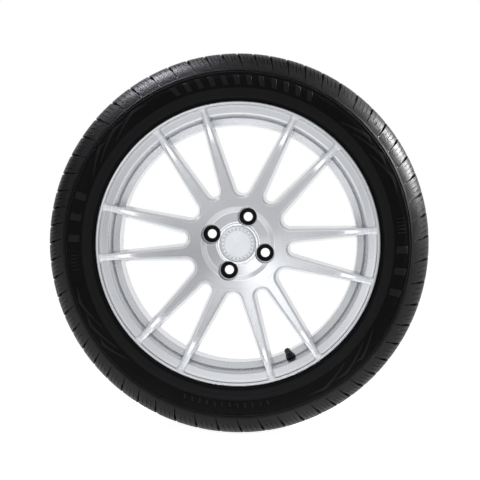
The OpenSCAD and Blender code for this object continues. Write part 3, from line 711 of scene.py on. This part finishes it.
def plain_finish(name, base, roughness, metallic=0.0, grain=900, depth=0.00005):
    f = Finish(name, base, roughness, metallic)
    cloud = f.noise(grain / 12, 2)
    dark = tuple(0.8 * c for c in base)
    f.link(f.mix(cloud, dark, base), "Base Color")
    f.link(f.span(cloud, 0.3, 0.7, roughness - 0.05, roughness + 0.05), "Roughness")
    f.link(f.bump(f.noise(grain, 2), depth), "Normal")
    return f.material


# Operators


class WHEEL_OT_alloy(bpy.types.Operator):
    """Finish the cast wheel with silver lacquer, painted highlights on its edges and rings, and bolt seats
    painted near black for shade
    """

    bl_idname = "wheel.alloy"
    bl_label = "Alloy wheel"

    def execute(self, context):
        s = context.scene.wheel_settings
        use_material("wheel", alloy_finish(s))
        return {"FINISHED"}


class WHEEL_OT_tyre(bpy.types.Operator):
    """Mould the tyre: carcass, tread blocks and sipes"""

    bl_idname = "wheel.tyre"
    bl_label = "Tyre"

    def execute(self, context):
        s = context.scene.tyre_settings
        rubber = rubber_finish(s)
        tread = tread_finish(s)
        half = carcass_path(s)
        mirror = half[1:-1][::-1] * np.array([1.0, -1.0])
        carcass = solid(
            "tyre_carcass", [ring_solid(np.vstack([half, mirror]))], rubber
        )
        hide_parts("tyre")
        z0, z1 = INNER_GROOVE_Z + RIB_GROOVE_W / 2, OUTER_GROOVE_Z - RIB_GROOVE_W / 2
        slots = [
            (0.0, 1.1, 6.0, z0, z1 - 3),
            (0.35, 0.4, 4.0, z0 + 2, z1 - 2),
            (0.68, 0.4, 4.0, z0 + 2, z1 - 2),
        ]
        centre = INNER_GROOVE_Z - RIB_GROOVE_W / 2
        notches = [
            (0.0, 1.1, 4.5, centre * 0.2, centre + 1),
            (0.5, 0.4, 3.5, -centre * 0.8, centre * 0.3),
        ]
        ribs = {
            "tread_outer_shoulder": shoulder_rib(s, 0.0, 1),
            "tread_inner_shoulder": shoulder_rib(s, 0.5, -1),
            "tread_outer_rib": middle_rib(s, z0, z1, 32, slots, 0.2),
            "tread_inner_rib": middle_rib(s, z0, z1, 32, slots, 0.7, -1),
            "tread_centre_rib": middle_rib(s, -centre, centre, 32, notches, 0.45),
        }
        for name, grid in ribs.items():
            solid(name, [grid], tread, sharp=30)
        return {"FINISHED"}


class WHEEL_OT_ornaments(bpy.types.Operator):
    """Raise the sidewalls' ornaments"""

    bl_idname = "wheel.ornaments"
    bl_label = "Sidewall ornaments"

    def execute(self, context):
        s = context.scene.tyre_settings
        relief = s.relief_h / MM
        rubber = ornament_finish(s)
        rows, sweeps = outer_ornaments()
        pads = [raised_pad(c, relief) for c in rows]
        pads += [raised_pad(c, relief, across=40) for c in sweeps]
        solid("outer_ornaments", pads, rubber, weld=1e-6)
        inner = bars(251, 281, 12, BAND_IN_R + 3, BAND_IN_R + 13, 3.0, 1.0)
        solid(
            "inner_ornaments",
            [raised_pad(c, relief, side=-1) for c in inner],
            rubber,
            weld=1e-6,
        )
        return {"FINISHED"}


class WHEEL_OT_cap(bpy.types.Operator):
    """Finish the centre cap and mark its rim"""

    bl_idname = "wheel.cap"
    bl_label = "Centre cap"

    def execute(self, context):
        s = context.scene.wheel_settings
        finish = cap_finish(s)
        use_material("centre_cap", finish)
        wire = plain_finish("spring_wire", (0.55, 0.55, 0.56), 0.3, 1.0)
        use_material("centre_cap_ring", wire)
        return {"FINISHED"}


class WHEEL_OT_valve(bpy.types.Operator):
    """Finish the valve's rubber, brass and screw cap"""

    bl_idname = "wheel.valve"
    bl_label = "Valve"

    def execute(self, context):
        s = context.scene.valve_settings
        rubber = plain_finish("valve_rubber", s.rubber, 0.38)
        brass = plain_finish("turned_brass", s.brass, 0.28, 1.0, 1600, 0.00002)
        plastic = plain_finish("cap_plastic_black", s.plastic, 0.35)
        steel = plain_finish("core_spring_steel", (0.6, 0.6, 0.61), 0.3, 1.0)
        for name, material, slot in (
            ("valve_body", rubber, "valve_rubber"),
            ("valve_stem", brass, "brass"),
            ("valve_core_body", brass, "brass"),
            ("valve_core_pin", brass, "brass"),
            ("valve_core_seal", rubber, "valve_rubber"),
            ("valve_core_spring", steel, "spring_steel"),
            ("valve_cap", plastic, "black_plastic"),
            ("valve_cap_seal", rubber, "valve_rubber"),
        ):
            use_material(name, material)
        return {"FINISHED"}


def area_light(name, place, target, size, power, tint=(1, 1, 1), spread=180):
    data = bpy.data.lights.new(name, "AREA")
    data.shape = "RECTANGLE"
    data.size, data.size_y = size
    data.energy = power
    data.color = tint
    data.spread = radians(spread)
    light = bpy.data.objects.new(name, data)
    light.location = place
    light.rotation_mode = "QUATERNION"
    light.rotation_quaternion = (Vector(target) - Vector(place)).to_track_quat("-Z", "Y")
    bpy.context.scene.collection.objects.link(light)
    return light


def seen_rays(tree):
    """1 for camera, glossy and transmission rays, which meet the backdrop as it is."""
    path = tree.nodes.new("ShaderNodeLightPath")
    total = None
    for name in ("Is Camera Ray", "Is Glossy Ray", "Is Transmission Ray"):
        if total is None:
            total = path.outputs[name]
            continue
        node = tree.nodes.new("ShaderNodeMath")
        node.operation = "MAXIMUM"
        tree.links.new(total, node.inputs[0])
        tree.links.new(path.outputs[name], node.inputs[1])
        total = node.outputs[0]
    return total


# Floor: the places along y between which its glow grows, the two levels, and half its width
GLOW_FADES_FROM = -1.4
GLOW_FULL_FROM = -0.6
GLOW_NEAR = 0.56
GLOW_FULL = 0.95
FLOOR_HALF_W = 14


def set_camera(s, scene):
    """Camera: the vanishing point of the spin axis gives its direction."""
    data = bpy.data.cameras.new("camera")
    data.lens, data.sensor_width = s.lens, 36
    camera = bpy.data.objects.new("camera", data)
    camera.location = (s.camera_right, -FLANGE_Z - s.camera_distance, s.camera_up)
    picture = 480
    focal = s.lens / data.sensor_width * picture
    ahead = Vector(((picture / 2 - s.aim_x) / focal, 1, (s.aim_y - picture / 2) / focal))
    camera.rotation_mode = "QUATERNION"
    camera.rotation_quaternion = ahead.to_track_quat("-Z", "Y")
    scene.collection.objects.link(camera)
    scene.camera = camera
    scene.view_settings.view_transform = "Standard"


def set_lights():
    area_light("front_soft", (-0.09, -2.3, -0.05), (0, 0, 0), (0.25, 0.25), 0.52)
    area_light("front_low", (0.08, -2.3, -0.2), (0, 0, 0), (0.2, 0.16), 0.22)
    area_light("front_high", (-0.42, -2.3, 0.4), (0, 0, 0), (0.5, 0.5), 1.15)
    area_light("front_top", (0.08, -2.3, 0.5), (0, 0, 0), (0.5, 0.3), 0.3)
    area_light("front_left", (-0.68, -2.3, 0.0), (0, 0, 0), (0.3, 0.4), 0.25)
    area_light("left", (-1.6, -2.0, 0.3), (0, 0, 0), (0.8, 1.6), 1.8)
    area_light("top", (0, -2.0, 1.6), (0, 0, 0), (1.6, 0.8), 2.2)
    area_light("side_right", (1.35, 0.1, 0.75), (0.29, 0, 0.17), (0.3, 0.6), 2.7, spread=26)
    area_light(
        "side_left", (-0.75, 0.05, 1.4), (-0.16, 0, 0.3), (0.3, 0.5), 1.0, (0.92, 0.9, 1), 26
    )


def set_world(s, scene):
    world = bpy.data.worlds.new("studio_white")
    scene.world = world
    world.use_nodes = True
    tree = world.node_tree
    back = tree.nodes["Background"]
    back.inputs["Color"].default_value = (*s.background, 1)
    # The camera sees white all round. Metal meets white behind the wheel, dark flags beside
    # it, a white tent towards the front and a dimmer opening round the camera
    way = tree.nodes.new("ShaderNodeTexCoord")
    split = tree.nodes.new("ShaderNodeSeparateXYZ")
    tree.links.new(way.outputs["Generated"], split.inputs[0])
    turn = tree.nodes.new("ShaderNodeMapRange")
    turn.inputs["From Min"].default_value = -1
    tree.links.new(split.outputs["Y"], turn.inputs["Value"])
    ramp = tree.nodes.new("ShaderNodeValToRGB")
    ramp.color_ramp.interpolation = "EASE"
    stops = (
        (-0.985, s.room), (-0.86, s.tent), (-0.45, s.tent), (-0.2, s.flags),
        (0.35, s.flags), (0.6, 1),
    )
    while len(ramp.color_ramp.elements) < len(stops):
        ramp.color_ramp.elements.new(0.5)
    for stop, (y, value) in zip(ramp.color_ramp.elements, stops):
        stop.position = (y + 1) / 2
        stop.color = (value, value, value, 1)
    tree.links.new(turn.outputs["Result"], ramp.inputs["Fac"])
    level = tree.nodes.new("ShaderNodeMapRange")
    level.inputs["To Min"].default_value = s.ambient
    tree.links.new(seen_rays(tree), level.inputs["Value"])
    tree.links.new(ramp.outputs["Color"], level.inputs["To Max"])
    path = tree.nodes.new("ShaderNodeLightPath")
    white = tree.nodes.new("ShaderNodeMath")
    white.operation = "MAXIMUM"
    tree.links.new(level.outputs["Result"], white.inputs[0])
    tree.links.new(path.outputs["Is Camera Ray"], white.inputs[1])
    tree.links.new(white.outputs[0], back.inputs["Strength"])


def set_floor(s, scene):
    mesh = bpy.data.meshes.new("floor")
    z = -TYRE_R - 0.0005
    corners = [
        (-FLOOR_HALF_W, -FLOOR_HALF_W, z),
        (FLOOR_HALF_W, -FLOOR_HALF_W, z),
        (FLOOR_HALF_W, FLOOR_HALF_W, z),
        (-FLOOR_HALF_W, FLOOR_HALF_W, z),
    ]
    mesh.from_pydata(corners, [], [(0, 1, 2, 3)])
    floor = bpy.data.objects.new("floor", mesh)
    scene.collection.objects.link(floor)
    paint = bpy.data.materials.new("floor_paint")
    paint.use_nodes = True
    tree = paint.node_tree
    shader = tree.nodes["Principled BSDF"]
    shader.inputs["Base Color"].default_value = (0.85, 0.85, 0.85, 1)
    shader.inputs["Roughness"].default_value = 0.9
    shader.inputs["Specular IOR Level"].default_value = 0.0
    shader.inputs["Emission Color"].default_value = (*s.background, 1)
    seen = seen_rays(tree)
    level = tree.nodes.new("ShaderNodeMapRange")
    tree.links.new(seen, level.inputs["Value"])
    # Its glow fades towards the camera, where the metal would mirror it
    spot = tree.nodes.new("ShaderNodeTexCoord")
    split = tree.nodes.new("ShaderNodeSeparateXYZ")
    tree.links.new(spot.outputs["Object"], split.inputs[0])
    fade = tree.nodes.new("ShaderNodeMapRange")
    fade.interpolation_type = "SMOOTHSTEP"
    fade.inputs["From Min"].default_value = GLOW_FADES_FROM
    fade.inputs["From Max"].default_value = GLOW_FULL_FROM
    fade.inputs["To Min"].default_value = GLOW_NEAR
    fade.inputs["To Max"].default_value = GLOW_FULL
    tree.links.new(split.outputs["Y"], fade.inputs["Value"])
    tree.links.new(fade.outputs["Result"], level.inputs["To Max"])
    tree.links.new(level.outputs["Result"], shader.inputs["Emission Strength"])
    floor.data.materials.append(paint)


class WHEEL_OT_studio(bpy.types.Operator):
    """Set the camera, the soft lights, the white backdrop and the floor"""

    bl_idname = "wheel.studio"
    bl_label = "Studio"

    def execute(self, context):
        s = context.scene.studio_settings
        set_camera(s, context.scene)
        set_lights()
        set_world(s, context.scene)
        set_floor(s, context.scene)
        return {"FINISHED"}


class WHEEL_PT_panel(bpy.types.Panel):
    """Lists the steps that dress the wheel"""

    bl_label = "Tyre and wheel"
    bl_idname = "WHEEL_PT_panel"
    bl_space_type = "VIEW_3D"
    bl_region_type = "UI"
    bl_category = "Wheel"

    def draw(self, context):
        for step in STEPS:
            self.layout.operator(step.bl_idname)


STEPS = (
    WHEEL_OT_studio,
    WHEEL_OT_alloy,
    WHEEL_OT_tyre,
    WHEEL_OT_ornaments,
    WHEEL_OT_cap,
    WHEEL_OT_valve,
)
SETTINGS = {
    "tyre_settings": TyreSettings,
    "wheel_settings": WheelSettings,
    "valve_settings": ValveSettings,
    "studio_settings": StudioSettings,
}
CLASSES = (*SETTINGS.values(), *STEPS, WHEEL_PT_panel)


def register():
    for c in CLASSES:
        bpy.utils.register_class(c)
    for name, group in SETTINGS.items():
        setattr(bpy.types.Scene, name, PointerProperty(type=group))


def unregister():
    for name in SETTINGS:
        delattr(bpy.types.Scene, name)
    for c in reversed(CLASSES):
        bpy.utils.unregister_class(c)


def main():
    register()
    for step in STEPS:
        group, name = step.bl_idname.split(".")
        getattr(getattr(bpy.ops, group), name)()
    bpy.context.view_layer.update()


if __name__ == "__main__":
    main()
